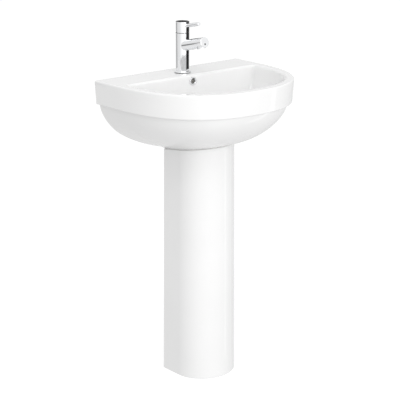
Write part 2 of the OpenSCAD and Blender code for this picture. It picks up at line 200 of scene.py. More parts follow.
def loft(name, rings, material_index=0):
    """Closed solid through rings of points, capped at both ends."""
    n = len(rings[0])
    faces = [
        (k * n + i, k * n + (i + 1) % n, (k + 1) * n + (i + 1) % n, (k + 1) * n + i)
        for k in range(len(rings) - 1) for i in range(n)
    ]
    last = (len(rings) - 1) * n
    faces.append(tuple(range(n)))
    faces.append(tuple(range(last, last + n)))
    return object_from(name, [p for ring in rings for p in ring], faces, material_index)


def rounded(corners, closed, steps=4):
    """Profile of (r, z) points from (r, z) or (r, z, radius) corners, with those radii rounded."""
    out = []
    count = len(corners)
    for i, corner in enumerate(corners):
        at = Vector(corner[:2])
        radius = corner[2] if len(corner) > 2 else 0
        if not radius or (not closed and i in (0, count - 1)):
            out.append(tuple(at))
            continue
        before = (Vector(corners[i - 1][:2]) - at).normalized()
        after = (Vector(corners[(i + 1) % count][:2]) - at).normalized()
        half = before.angle(after) / 2
        centre = at + (before + after).normalized() * radius / math.sin(half)
        start = at + before * radius / math.tan(half) - centre
        end = at + after * radius / math.tan(half) - centre
        sweep = start.angle_signed(end)
        for k in range(steps + 1):
            turn = Matrix.Rotation(-sweep * k / steps, 2)
            out.append(tuple(centre + turn @ start))
    return out


def lathe(name, corners, place=None, closed=False, steps=96, material_index=0):
    """Solid of revolution about the local Z axis. An open profile starts and ends at radius 0."""
    profile = rounded(corners, closed)
    if closed:
        verts = [(r * math.cos(a), r * math.sin(a), z)
                 for r, z in profile for a in (math.tau * i / steps for i in range(steps))]
        count = len(profile)
        faces = [
            (k * steps + i, k * steps + (i + 1) % steps,
             (k + 1) % count * steps + (i + 1) % steps, (k + 1) % count * steps + i)
            for k in range(count) for i in range(steps)
        ]
    else:
        inner = profile[1:-1]
        verts = [(r * math.cos(a), r * math.sin(a), z)
                 for r, z in inner for a in (math.tau * i / steps for i in range(steps))]
        faces = [
            (k * steps + i, k * steps + (i + 1) % steps,
             (k + 1) * steps + (i + 1) % steps, (k + 1) * steps + i)
            for k in range(len(inner) - 1) for i in range(steps)
        ]
        for z, ring in ((profile[0][1], 0), (profile[-1][1], (len(inner) - 1) * steps)):
            verts.append((0, 0, z))
            faces += [(ring + i, ring + (i + 1) % steps, len(verts) - 1) for i in range(steps)]
    piece = object_from(name, verts, faces, material_index)
    if place:
        piece.data.transform(place)
    return piece


def rod(name, radius, low, high, place, steps=64, material_index=0):
    """Plain cylinder along the place's Z axis, used for cutting."""
    profile = [(0, low), (radius, low), (radius, high), (0, high)]
    return lathe(name, profile, place, steps=steps, material_index=material_index)


def block(name, low, high, bevel=0.0, place=None, material_index=0):
    """Box between two corners, with rounded edges."""
    shape = bmesh.new()
    bmesh.ops.create_cube(shape, size=1)
    size = Vector(high) - Vector(low)
    middle = (Vector(high) + Vector(low)) / 2
    for v in shape.verts:
        v.co = Vector((v.co.x * size.x, v.co.y * size.y, v.co.z * size.z)) + middle
    if bevel:
        bmesh.ops.bevel(shape, geom=shape.edges[:], offset=bevel, segments=3, profile=0.5, affect="EDGES")
    mesh = bpy.data.meshes.new(name)
    for face in shape.faces:
        face.material_index = material_index
    shape.to_mesh(mesh)
    shape.free()
    piece = bpy.data.objects.new(name, mesh)
    SCENE.collection.objects.link(piece)
    if place:
        piece.data.transform(place)
    return piece


def combine(piece, tool, operation="DIFFERENCE"):
    """Cuts the tool out of the piece, or joins it on, and removes the tool."""
    step = piece.modifiers.new(operation, "BOOLEAN")
    step.operation = operation
    step.object = tool
    step.solver = "MANIFOLD"
    graph = bpy.context.evaluated_depsgraph_get()
    mesh = bpy.data.meshes.new_from_object(piece.evaluated_get(graph))
    piece.modifiers.remove(step)
    old = piece.data
    piece.data = mesh
    bpy.data.meshes.remove(old)
    bpy.data.objects.remove(tool)


def drill(piece, name, radius, low, high, place, steps=64, material_index=0):
    """Cuts a round hole between two heights along the place's Z axis."""
    combine(piece, rod(name, radius, low, high, place, steps, material_index))


def finish_piece(piece, materials, slot, body, *nodes):
    """Shades the piece, gives it its materials, and puts it on its body in place of its CAD nodes."""
    faces = piece.data.polygons
    indices = [face.material_index for face in faces]
    piece.data.materials.clear()
    for material in materials:
        piece.data.materials.append(material)
    faces.foreach_set("material_index", indices)
    piece.data.shade_smooth()
    piece.data.set_sharp_from_angle(angle=SHARP_ANGLE)
    normals = piece.modifiers.new("even_shading", "WEIGHTED_NORMAL")
    normals.keep_sharp = True
    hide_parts(*nodes)
    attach(piece, body)


# ---- Basin ----------------------------------------------------------------------------

def d_outline(w, d, side, power, y_back, corner=WALL_ROUND):
    """Plan outline: a rounded front, straight sides, and a straight back with rounded corners."""
    points = []
    for i in range(ARC_STEPS + 1):
        a = math.pi * i / ARC_STEPS
        out = math.copysign(abs(math.cos(a)) ** (2 / power), math.cos(a))
        points.append((-w / 2 * out, y_back - side - (d - side) * abs(math.sin(a)) ** (2 / power)))
    high = y_back - corner
    wide = w / 2 - corner
    points += [(w / 2, lerp(y_back - side, high, i / SIDE_STEPS)) for i in range(1, SIDE_STEPS + 1)]
    points += [(wide + corner * c, high + corner * s) for s, c in quarter(CORNER_STEPS)[1:]]
    points += [(lerp(wide, -wide, i / BACK_STEPS), y_back) for i in range(1, BACK_STEPS + 1)]
    points += [(-wide - corner * s, high + corner * c) for s, c in quarter(CORNER_STEPS)[1:]]
    points += [(-w / 2, lerp(high, y_back - side, i / SIDE_STEPS)) for i in range(1, SIDE_STEPS)]
    return points


def flat(outline, z):
    return [(x, y, z) for x, y in outline]


def blend_outline(a, b, t):
    return [(lerp(p[0], q[0], t), lerp(p[1], q[1], t)) for p, q in zip(a, b)]


def rim_outline(inset, drawn_in=0.0):
    """Outline of the rim and the band. drawn_in is how far the sides and the front have stepped in."""
    return d_outline(BASIN_W - 2 * inset - 2 * drawn_in, BASIN_D - 2 * inset - drawn_in,
                     BASIN_SIDE - inset, BASIN_POWER, WALL_Y - inset)


def under_outline(inset):
    """Outline of the underside just below the band, as thick as the wall at inset WALL."""
    step = BAND_DRAFT + BAND_STEP
    return d_outline(BASIN_W - 2 * inset - 2 * step, BASIN_D - 2 * inset - step,
                     BASIN_SIDE, BASIN_POWER, WALL_Y - inset)


def seat_outline(inset):
    grow = SEAT_EDGE - inset
    back = FOOT_MID_Y + FOOT_D * TOP_SHARE / 2 + grow
    return d_outline(FOOT_W * TOP_SHARE + 2 * grow, FOOT_D * TOP_SHARE + 2 * grow,
                     FOOT_SIDE * TOP_SHARE + grow, 2, back)


def seat_z(y):
    """Height of the sloping joint between the basin and the pedestal."""
    return SEAT_BACK_Z + (FOOT_BACK_Y - y) * SEAT_TAN


def back_share(y, out, down):
    """Share of the way out from the lower end: the back stays on the wall down to the apron's edge."""
    apron = (BAND_Z - APRON_Z) / (BAND_Z - SEAT_BACK_Z)
    past = max(0.0, down - apron) / (1 - apron)
    back = math.sqrt(max(0.0, 1 - past * past))
    along = max(0.0, min(1.0, (y - WALL_Y + BASIN_SIDE) / BASIN_SIDE))
    return lerp(out, back, along)


def under_rings(upper, lower, z_top, rise):
    """Rings of the underside from below the band down to the pedestal."""
    rings = []
    for k in range(CURVE_STEPS + 1):
        a = math.pi / 2 * k / CURVE_STEPS
        out = max(0.0, math.cos(a)) ** (2 / UNDER_POWER)
        down = math.sin(a) ** (2 / UNDER_POWER)
        ring = []
        for p, q in zip(upper, lower):
            x = lerp(q[0], p[0], out)
            y = lerp(q[1], p[1], back_share(p[1], out, down))
            ring.append((x, y, lerp(z_top, seat_z(q[1]) + rise, down)))
        rings.append(ring)
    return rings


def mouth_outline(grow):
    return d_outline(BOWL_W + 2 * grow, BOWL_D + 2 * grow, BOWL_SIDE + grow, BASIN_POWER,
                     BOWL_BACK_Y + grow, MOUTH_CORNER + grow)


def floor_outline(grow):
    return d_outline(FLOOR_W + 2 * grow, FLOOR_D + 2 * grow, FLOOR_SIDE, 2,
                     FLOOR_BACK_Y + grow, FLOOR_CORNER)


def bowl_rings(grow, z_top, z_low):
    """Rings of the bowl's wall, starting at z_top on the curve that reaches the mouth at BOWL_TOP_Z."""
    mouth, bottom = mouth_outline(grow), floor_outline(grow)
    first = max(0.0, (BOWL_TOP_Z - z_top) / (BOWL_TOP_Z - z_low)) ** (BOWL_POWER / 2)
    start = math.asin(first)
    rings = []
    for k in range(CURVE_STEPS + 1):
        a = lerp(start, math.pi / 2, k / CURVE_STEPS)
        out = max(0.0, math.cos(a)) ** (2 / BOWL_POWER)
        down = math.sin(a) ** (2 / BOWL_POWER)
        rings.append(flat(blend_outline(bottom, mouth, out), lerp(BOWL_TOP_Z, z_low, down)))
    return rings


def drain_ring(radius, z):
    """Ring round the waste, with its points in line with those of the bowl's floor."""
    ring = []
    for x, y in floor_outline(0):
        way = Vector((x, y - DRAIN_Y)).normalized()
        ring.append((way.x * radius, DRAIN_Y + way.y * radius, z))
    return ring


def outer_rings():
    """Outside of the basin, from the seat up to the rim."""
    rings = []
    for c, s in reversed(quarter(EDGE_STEPS)):
        rise = GASKET_T + SEAT_ROUND * (1 - s)
        rings.append([(x, y, seat_z(y) + rise) for x, y in seat_outline(SEAT_ROUND * (1 - c))])
    under = under_rings(under_outline(0), seat_outline(0), BAND_Z - BAND_DIP, GASKET_T + SEAT_ROUND)
    rings += list(reversed(under))[1:]
    for share in (0.96, 0.85, 0.6, 0.35):
        rings.append(flat(rim_outline(0, BAND_DRAFT + BAND_STEP * share), BAND_Z - BAND_DIP * share ** 2))
    for s, c in quarter(EDGE_STEPS):
        inset = BAND_ROUND * (1 - s)
        rings.append(flat(rim_outline(0, BAND_DRAFT + inset), BAND_Z + BAND_ROUND * (1 - c)))
    low, high = BAND_Z + BAND_ROUND, RIM_Z - RIM_ROUND
    for k in range(1, 7):
        rings.append(flat(rim_outline(0, BAND_DRAFT * (1 - k / 6)), lerp(low, high, k / 6)))
    for s, c in quarter(EDGE_STEPS)[1:]:
        rings.append(flat(rim_outline(RIM_ROUND * (1 - c)), high + RIM_ROUND * s))
    return rings


def rim_and_bowl_rings():
    """The flat land, the rolled edge, the bowl, its floor and the recess for the waste."""
    land_out, land_in = rim_outline(RIM_ROUND), mouth_outline(MOUTH_ROUND)
    rings = [flat(blend_outline(land_out, land_in, k / 6), RIM_Z) for k in range(1, 7)]
    for s, c in quarter(EDGE_STEPS + 3)[1:]:
        rings.append(flat(mouth_outline(MOUTH_ROUND * (1 - s)), RIM_Z - MOUTH_ROUND * (1 - c)))
    rings += bowl_rings(0, RIM_Z - MOUTH_ROUND, BOWL_Z)[1:]
    edge, high = RECESS_ROUND, BOWL_Z - RECESS_SAG
    rings.append(drain_ring(RECESS_R + edge, high))
    for s, c in quarter(4)[1:]:
        rings.append(drain_ring(RECESS_R + edge * (1 - s), high - edge * (1 - c)))
    rings.append(drain_ring(RECESS_R, BOWL_Z - RECESS_H))
    return rings


def hollow_tool():
    """The space under the bowl, open to the pedestal and behind it. Its faces are unglazed."""
    under_z, rise = BAND_Z - BAND_DIP + WALL, GASKET_T + WALL
    rings = [flat(rim_outline(WALL), RIM_Z - DECK_T), flat(rim_outline(WALL, BAND_DRAFT), BAND_Z + WALL)]
    rings += under_rings(under_outline(WALL), seat_outline(WALL), under_z, rise)
    hollow = loft("hollow", rings, 1)
    way_down = seat_outline(WALL + OVERSHOOT)
    combine(hollow, loft("way_down", [flat(way_down, HOLLOW_LOW), flat(way_down, BOWL_Z)], 1), "UNION")
    combine(hollow, block("rear_gap", (-REAR_GAP_W / 2, FOOT_BACK_Y - REAR_GAP_IN, HOLLOW_LOW),
                          (REAR_GAP_W / 2, WALL_Y - WALL - OVERSHOOT, APRON_Z + WALL + REAR_GAP_RISE),
                          REAR_GAP_ROUND, material_index=1), "UNION")
    skin = [flat(mouth_outline(WALL), RIM_Z)] + bowl_rings(WALL, BOWL_TOP_Z, BOWL_Z - FLOOR_T)
    combine(hollow, loft("bowl_skin", skin, 1))
    combine(hollow, block("rib", (-RIB_W / 2, BOWL_BACK_Y - 2 * OVERSHOOT, BOWL_Z - FLOOR_T),
                          (RIB_W / 2, DUCT_Y + RIB_BACK, RIM_Z), RIB_ROUND, material_index=1))
    combine(hollow, block("floor_rib", (-RIB_W / 2, DRAIN_Y, BOWL_Z - FLOOR_T - OVERSHOOT / 2),
                          (RIB_W / 2, DUCT_Y, BOWL_Z), RIB_ROUND, material_index=1))
    return hollow


def upright(x, y):
    """Local +Z points up."""
    return Matrix.Translation((x, y, 0))


def to_the_wall(x, z):
    """Local +Z points along +Y."""
    return Matrix.Translation((x, 0, z)) @ Matrix.Rotation(-math.pi / 2, 4, "X")


def make_basin(glaze, bisque):
    """The shell, with its holes and the overflow's duct, which are unglazed inside."""
    basin = loft("basin_ceramic", outer_rings() + rim_and_bowl_rings())
    combine(basin, hollow_tool())
    tap_axis, drain_axis, overflow_axis = upright(0, TAP_Y), upright(0, DRAIN_Y), to_the_wall(0, OVERFLOW_Z)
    drill(basin, "tap_hole", TAP_HOLE_R, RIM_Z - CUT_DEPTH, RIM_Z + CUT_SPARE, tap_axis, 96, 1)
    drill(basin, "drain_hole", DRAIN_HOLE_R, BOWL_Z - CUT_DEPTH, BOWL_Z + CUT_SPARE, drain_axis, 96, 1)
    drill(basin, "overflow_hole", OVERFLOW_HOLE_R, DUCT_Y - CUT_DEPTH, DUCT_Y, overflow_axis, 64, 1)
    drill(basin, "duct", DUCT_R, DUCT_FLOOR_Z, OVERFLOW_Z + DUCT_RISE, upright(0, DUCT_Y), 48, 1)
    drill(basin, "duct_floor", DUCT_FLOOR_R, DRAIN_Y, DUCT_Y, to_the_wall(0, DUCT_FLOOR_Z), 32, 1)
    for side in (-1, 1):
        place = to_the_wall(side * BOLT_X, BOLT_Z)
        drill(basin, "bolt_hole", BOLT_HOLE_R, WALL_Y - CUT_DEPTH, WALL_Y + CUT_SPARE, place, 64, 1)
    finish_piece(basin, [glaze, bisque], "ceramic", "root", "basin")


# ---- Pedestal -------------------------------------------------------------------------

def pedestal_section(edge):
    """U-shaped plan: outer face, rounded back edge, inner face, rounded back edge. edge draws it thinner."""
    back = FOOT_BACK_Y - edge
    corner = FOOT_ROUND

    def face(inset):
        side, depth, half = FOOT_SIDE, FOOT_D - inset, FOOT_W / 2 - inset
        points = [(-half, lerp(back - corner, FOOT_BACK_Y - side, k / 10)) for k in range(10)]
        for i in range(ARC_STEPS + 1):
            a = math.pi * i / ARC_STEPS
            points.append((-half * math.cos(a), FOOT_BACK_Y - side - (depth - side) * math.sin(a)))
        points += [(half, lerp(FOOT_BACK_Y - side, back - corner, k / 10)) for k in range(1, 11)]
        return points

    outer, inner = face(edge), face(WALL - edge)
    wide, narrow = FOOT_W / 2 - edge, FOOT_W / 2 - WALL + edge
    turn = quarter(EDGE_STEPS)[1:]
    right = [(wide - corner * (1 - c), back - corner * (1 - s)) for s, c in turn]
    right += [(narrow + corner * (1 - s), back - corner * (1 - c)) for s, c in turn[:-1]]
    left = [(-x, y) for x, y in reversed(right)]
    return outer + right + list(reversed(inner)) + left


def column_ring(edge, up, below):
    """Ring of the tapered column, a share of the way up to a height just below the sloping seat."""
    ring = []
    for x, y in pedestal_section(edge):
        z = lerp(FOOT_ROUND, seat_z(y) - below, up)
        share = 1 - TAPER * z
        ring.append((x * share, FOOT_MID_Y + (y - FOOT_MID_Y) * share, z))
    return ring


def ground_faces(column):
    """Leaves the foot and the seat unglazed."""
    near = FOOT_ROUND / 5
    for face in column.data.polygons:
        y, z = face.center.y, face.center.z
        if face.normal.z < -0.9 and z < near or face.normal.z > 0.9 and z > seat_z(y) - near:
            face.material_index = 1


def make_pedestal(glaze, bisque):
    """The column, with its lugs for the floor screws."""
    turn = quarter(EDGE_STEPS)
    rings = [flat(pedestal_section(FOOT_ROUND * (1 - s)), FOOT_ROUND * (1 - c)) for s, c in turn]
    rings += [column_ring(0, k / 12, FOOT_ROUND) for k in range(1, 13)]
    rings += [column_ring(FOOT_ROUND * (1 - c), 1, FOOT_ROUND * (1 - s)) for s, c in turn[1:]]
    column = loft("pedestal_ceramic", rings)
    w, d, h = LUG_SIZE
    for x in (-LUG_X, LUG_X):
        lug = block("lug", (x - w / 2, LUG_Y - d / 2, 0), (x + w / 2, LUG_Y + d / 2, h), LUG_ROUND)
        combine(column, lug, "UNION")
        drill(column, "lug_hole", SCREW_HOLE_R, -CUT_SPARE, CUT_DEPTH, upright(x, LUG_Y), 48)
    ground_faces(column)
    finish_piece(column, [glaze, bisque], "ceramic", "root", "pedestal")


# ---- Tap ------------------------------------------------------------------------------

# The body: its joint with the cap, and its bores
NECK_STEP = 0.0012
NECK_H = 0.0007
CARTRIDGE_R = 0.0163
CARTRIDGE_H = 0.028
WATER_WAY_R = 0.007
TAIL_X = 0.008
TAIL_Y = -0.004
TAIL_R = 0.0052
TAIL_TOP = 0.020
TAIL_BORE_TOP = -0.008
TAIL_SPLAY = math.radians(4)
STUD_Y = 0.009
STUD_R = 0.0041
STUD_H = 0.021

# The spout, its flare at the body, the dark inset in its end, and the aerator's pocket
SPOUT_Z = RIM_Z + 0.074
SPOUT_R = 0.0145
SPOUT_REACH = 0.098
SPOUT_RISE = math.radians(13)
SPOUT_FLARE = 0.0012
SPOUT_EDGE = 0.0012
SPOUT_BORE_R = 0.0075
SPOUT_END_T = 0.0085
INDEX_DROP = 0.005
INDEX_R = 0.0025
INDEX_H = 0.003
AERATOR_BACK = 0.018
AERATOR_IN = 0.002
AERATOR_R = 0.012

# The handle: its cap, the socket for the cartridge's stem, and the lever pin
CAP_BORE_R = 0.015
CAP_BORE_H = 0.011
STEM_W = 0.0082
STEM_H = 0.0221
LEVER_Z = CAP_LOW.z + 0.016
LEVER_R = 0.005
LEVER_RISE = math.radians(12)
LEVER_START = 0.012
LEVER_REACH = 0.072
GRUB_SCREW_R = 0.0025
LIFT_MAX = math.radians(16)
LIFT_SPARE = math.radians(2)

# The ring under the body
RING_BORE_R = 0.0165


def at_tap(z):
    return Matrix.Translation((0, TAP_Y, z))


def forwards(z, rise):
    """Local +Z points to the front out of the tap's axis and rises, and local +Y points up."""
    return at_tap(z) @ Matrix.Rotation(math.pi / 2 - rise, 4, "X")


def along_tail(side):
    """Local +Z points down along a supply tail, from inside the tap's base."""
    start = at_tap(TAP_BASE_Z + TAIL_TOP) @ Matrix.Translation((side * TAIL_X, TAIL_Y, 0))
    return start @ Matrix.Rotation(math.pi - side * TAIL_SPLAY, 4, "Y")


def aerator_place():
    """Local +Z points out of the spout's underside."""
    along = Matrix.Translation((0, 0, SPOUT_REACH - AERATOR_BACK))
    return forwards(SPOUT_Z, SPOUT_RISE) @ along @ Matrix.Rotation(math.pi / 2, 4, "X")


def reach_to_body(radius, angle):
    """Distance along the spout at which a line on its surface leaves the tap's body."""
    across = radius * math.cos(angle)
    rise = radius * math.sin(angle) * math.sin(SPOUT_RISE)
    return (math.sqrt(TAP_R ** 2 - across ** 2) + rise) / math.cos(SPOUT_RISE)


def spout_row(a, steps=6):
    """(radius, distance) points along one line of the spout's surface, from inside the body to its end."""
    start = reach_to_body(SPOUT_R + SPOUT_FLARE, a) - 0.0001
    corner = reach_to_body(SPOUT_R, a)
    row = [(SPOUT_R + SPOUT_FLARE, start - 0.004)]
    for k in range(steps + 1):
        t = k / steps
        along = (1 - t) ** 2 * start + 2 * t * (1 - t) * corner + t * t * (corner + SPOUT_FLARE)
        row.append((SPOUT_R + SPOUT_FLARE * (1 - t) ** 2, along))
    end = SPOUT_REACH - SPOUT_EDGE
    row += [(SPOUT_R, lerp(row[-1][1], end, k / 4)) for k in range(1, 5)]
    row += [(SPOUT_R - SPOUT_EDGE * (1 - c), end + SPOUT_EDGE * s) for s, c in quarter(4)[1:]]
    return row


def spout():
    """The spout, with a small flare where it meets the body."""
    steps = 96
    rows = []
    for i in range(steps):
        a = math.tau * i / steps
        rows.append([(r * math.cos(a), r * math.sin(a), z) for r, z in spout_row(a)])
    piece = loft("spout", [list(ring) for ring in zip(*rows)])
    piece.data.transform(forwards(SPOUT_Z, SPOUT_RISE))
    return piece


def paint_gap_shade(piece, low, high, radius):
    """Gives the joint's faces, between two heights and inside a radius, the piece's second material: painted
    shade of the gap.
    """
    for face in piece.data.polygons:
        x, y, z = face.center
        if low < z < high and math.hypot(x, y - TAP_Y) < radius:
            face.material_index = 1


def make_tap_body(chrome, inside):
    """The upright body and its spout, bored for the cartridge, water, aerator, tails and stud."""
    top = TAP_HIGH.z
    neck, step = TAP_R - NECK_STEP, top - NECK_H
    axis, along_spout = upright(0, TAP_Y), forwards(SPOUT_Z, SPOUT_RISE)
    profile = [(0, TAP_BASE_Z), (TAP_R, TAP_BASE_Z, 0.0003), (TAP_R, step, 0.0003),
               (neck, step), (neck, top), (0, top)]
    body = lathe("tap_body_chrome", profile, axis, steps=128)
    combine(body, spout(), "UNION")
    drill(body, "cartridge_bore", CARTRIDGE_R, top - CARTRIDGE_H, top + CUT_SPARE, axis)
    drill(body, "water_way", WATER_WAY_R, SPOUT_Z, top - 0.02, axis)
    drill(body, "spout_bore", SPOUT_BORE_R, 0, SPOUT_REACH - SPOUT_END_T, along_spout)
    drill(body, "index_hole", INDEX_R, SPOUT_REACH - INDEX_H, SPOUT_REACH + CUT_SPARE,
          along_spout @ Matrix.Translation((0, -INDEX_DROP, 0)), 32)
    drill(body, "aerator_pocket", AERATOR_R, AERATOR_IN, CUT_DEPTH, aerator_place())
    for side in (-1, 1):
        drill(body, "tail_hole", TAIL_R, TAIL_BORE_TOP, CUT_DEPTH, along_tail(side), 32)
    stud_axis = upright(0, TAP_Y + STUD_Y)
    drill(body, "stud_hole", STUD_R, TAP_BASE_Z - CUT_SPARE, TAP_BASE_Z + STUD_H, stud_axis, 32)
    # The top and neck of the body take the near-black painted shade of the gap under the cap.
    paint_gap_shade(body, step - 0.0001, top + 0.0001, TAP_R - 0.0004)
    finish_piece(body, [chrome, inside], "chrome", "root", "tap_body")


def make_base_ring(chrome):
    low, high, radius = RING_LOW.z, RING_HIGH.z, (RING_HIGH.x - RING_LOW.x) / 2
    profile = [(RING_BORE_R, low), (radius, low, 0.0004), (radius, high, 0.0016), (RING_BORE_R, high)]
    ring = lathe("tap_base_ring_chrome", profile, upright(0, TAP_Y), closed=True)
    finish_piece(ring, [chrome], "chrome", "root", "tap_base_ring")


def make_handle_cap(chrome, inside):
    """The cap, hollow over the cartridge, with its rear lower edge cut on a slope so that it can tip back."""
    low, high = CAP_LOW.z, CAP_HIGH.z
    axis = upright(0, TAP_Y)
    profile = [(0, low), (TAP_R, low, 0.0004), (TAP_R, high, 0.0009), (0, high)]
    cap = lathe("handle_cap_chrome", profile, axis, steps=128)
    drill(cap, "cap_hollow", CAP_BORE_R, low - CUT_SPARE, low + CAP_BORE_H, axis)
    half = STEM_W / 2
    combine(cap, block("stem_socket", (-half, TAP_Y - half, low), (half, TAP_Y + half, low + STEM_H)))
    wedge = at_tap(PIVOT_Z) @ Matrix.Rotation(LIFT_MAX + LIFT_SPARE, 4, "X")
    combine(cap, block("tip_back", (-0.04, 0, -0.06), (0.04, 0.06, 0), place=wedge))
    drill(cap, "lever_socket", LEVER_R, LEVER_START - 0.0002, CUT_DEPTH, forwards(LEVER_Z, LEVER_RISE))
    drill(cap, "screw_hole", GRUB_SCREW_R, TAP_Y, TAP_Y + CUT_DEPTH, to_the_wall(0, LEVER_Z), 32)
    # The cap's underside takes the near-black painted shade of the gap over the body.
    paint_gap_shade(cap, low - 0.0001, low + 0.0001, TAP_R)
    finish_piece(cap, [chrome, inside], "chrome", "handle", "handle_cap")


def make_lever(chrome):
    start, end = LEVER_START, LEVER_REACH / math.cos(LEVER_RISE)
    profile = [(0, start), (LEVER_R, start), (LEVER_R, end, 0.0014), (0, end)]
    pin = lathe("lever_pin_chrome", profile, forwards(LEVER_Z, LEVER_RISE), steps=64)
    finish_piece(pin, [chrome], "chrome", "handle", "lever_pin")


# ---- Overflow ring and plug -----------------------------------------------------------

def make_overflow_ring(chrome):
    """A trim ring with a rolled face and a sleeve into the ceramic."""
    bore, sleeve, radius = 0.0073, 0.0092, 0.012
    depth, flange = -0.0124, -0.0024
    profile = [(bore, depth), (sleeve, depth), (sleeve, flange), (radius, flange, 0.0006),
               (radius - 0.0007, 0, 0.0008), (bore + 0.0009, 0, 0.0008), (bore, -0.0014, 0.0006)]
    place = Matrix.Translation((0, OVERFLOW_LOW.y, OVERFLOW_Z)) @ Matrix.Rotation(math.pi / 2, 4, "X")
    ring = lathe("overflow_ring_chrome", profile, place, closed=True, steps=72)
    finish_piece(ring, [chrome], "chrome", "root", "overflow_ring")


def make_plug(chrome):
    """The domed push plug and its collar, with a socket for its rod."""
    bottom, low, high = PLUG_LOW.z, PLUG_LOW.z + 0.009, PLUG_HIGH.z
    radius, stem = (PLUG_HIGH.x - PLUG_LOW.x) / 2, 0.006
    axis = upright(0, DRAIN_Y)
    profile = [(0, bottom), (stem, bottom, 0.0005), (stem, low), (radius - 0.001, low, 0.0004),
               (radius, low + 0.0016, 0.0007), (radius - 0.003, low + 0.0042, 0.003),
               (0.018, high - 0.0008, 0.02), (0, high)]
    plug = lathe("waste_plug_chrome", profile, axis, steps=128)
    drill(plug, "rod_socket", 0.00305, bottom - CUT_SPARE, bottom + 0.0082, axis, 32)
    finish_piece(plug, [chrome], "chrome", "plug", "waste_plug")


# ---- Materials ------------------------------------------------------------------------

EASED_EDGE = 0.0003
EASED_ANGLE = math.radians(40)


class Look:
    """A material with a Principled shader whose detail comes from noise at real scale."""

    def __init__(self, name, **settings):
        self.material = bpy.data.materials.new(name)
        self.material.use_nodes = True
        self.tree = self.material.node_tree
        self.shader = self.tree.nodes["Principled BSDF"]
        for key, value in settings.items():
            self.shader.inputs[key.replace("_", " ")].default_value = value
        self.place = self.tree.nodes.new("ShaderNodeTexCoord").outputs["Object"]

    def noise(self, size, detail=2.0, stretch=(1, 1, 1)):
        """Noise whose features are about size metres across, drawn out along an axis by stretch."""
        mapping = self.tree.nodes.new("ShaderNodeMapping")
        mapping.inputs["Scale"].default_value = [1 / (size * s) for s in stretch]
        self.tree.links.new(self.place, mapping.inputs["Vector"])
        node = self.tree.nodes.new("ShaderNodeTexNoise")
        node.inputs["Scale"].default_value = 1
        node.inputs["Detail"].default_value = detail
        self.tree.links.new(mapping.outputs["Vector"], node.inputs["Vector"])
        return node.outputs["Fac"]

    def colours(self, source, low, high):
        ramp = self.tree.nodes.new("ShaderNodeValToRGB")
        ramp.color_ramp.elements[0].position = 0.3
        ramp.color_ramp.elements[1].position = 0.7
        ramp.color_ramp.elements[0].color = (*low, 1)
        ramp.color_ramp.elements[1].color = (*high, 1)
        self.tree.links.new(source, ramp.inputs["Fac"])
        self.tree.links.new(ramp.outputs["Color"], self.shader.inputs["Base Color"])
        return self

    def roughness(self, source, low, high):
        spread = self.tree.nodes.new("ShaderNodeMapRange")
        spread.inputs["To Min"].default_value = low
        spread.inputs["To Max"].default_value = high
        self.tree.links.new(source, spread.inputs["Value"])
        self.tree.links.new(spread.outputs["Result"], self.shader.inputs["Roughness"])
        return self

    def bump(self, source, height):
        node = self.tree.nodes.new("ShaderNodeBump")
        node.inputs["Distance"].default_value = height
        self.tree.links.new(source, node.inputs["Height"])
        last = self.shader.inputs["Normal"]
        if last.links:
            self.tree.links.new(last.links[0].from_socket, node.inputs["Normal"])
        self.tree.links.new(node.outputs["Normal"], last)
        return self


def glaze_look():
    """White vitreous glaze: an even body under a glossy coat with a faint orange peel."""
    look = Look("white_glaze", Coat_Weight=0.6, Coat_Roughness=0.03)
    look.colours(look.noise(0.15), (0.915, 0.915, 0.914), (0.935, 0.935, 0.934))
    look.roughness(look.noise(0.02), 0.10, 0.16)
    return look.bump(look.noise(0.03, 1.0), 0.00012).bump(look.noise(0.0025), 0.000006).material


def bisque_look():
    """Unglazed fired clay with a fine grain."""
    look = Look("bisque")
    look.colours(look.noise(0.012, 4.0), (0.80, 0.78, 0.74), (0.88, 0.865, 0.83))
    look.roughness(look.noise(0.004), 0.75, 0.9)
    return look.bump(look.noise(0.0007, 3.0), 0.00012).material


def chrome_look():
    """Polished plate, with faint wiping marks in its gloss."""
    look = Look("chrome", Metallic=1.0)
    look.colours(look.noise(0.03), (0.86, 0.87, 0.885), (0.90, 0.905, 0.915))
    look.roughness(look.noise(0.003, 3.0, (1, 1, 6)), 0.03, 0.075)
    return look.bump(look.noise(0.012), 0.000004).material


def gap_shade_look():
    """Near-black painted shade on the faces in the narrow gap between the tap's body and its cap."""
    look = Look("gap_painted_shade", Metallic=0.6)
    look.colours(look.noise(0.003, 3.0), (0.035, 0.033, 0.03), (0.07, 0.066, 0.06))
    look.roughness(look.noise(0.001), 0.4, 0.6)
    return look.bump(look.noise(0.0004, 1.0), 0.00002).material


def steel_look():
    """Steel with fine marks drawn along its length."""
    look = Look("brushed_steel", Metallic=1.0)
    look.colours(look.noise(0.006, 3.0, (1, 1, 8)), (0.50, 0.505, 0.51), (0.68, 0.685, 0.69))
    look.roughness(look.noise(0.0006, 2.0, (1, 1, 12)), 0.22, 0.38)
    return look.bump(look.noise(0.0004, 2.0, (1, 1, 20)), 0.00002).material


def brass_look():
    """Turned brass, slightly dulled, with fine lathe rings."""
    look = Look("brass", Metallic=1.0)
    look.colours(look.noise(0.008, 4.0), (0.62, 0.45, 0.18), (0.80, 0.63, 0.32))
    look.roughness(look.noise(0.003), 0.22, 0.4)
    return look.bump(look.noise(0.0006, 1.0, (20, 20, 1)), 0.00003).material


def copper_look():
    """Drawn copper tube with darker, handled patches."""
    look = Look("copper", Metallic=1.0)
    look.colours(look.noise(0.02, 4.0, (1, 1, 3)), (0.55, 0.25, 0.13), (0.86, 0.50, 0.34))
    look.roughness(look.noise(0.006, 3.0), 0.2, 0.42)
    return look.bump(look.noise(0.0008, 1.0, (1, 1, 30)), 0.00002).material


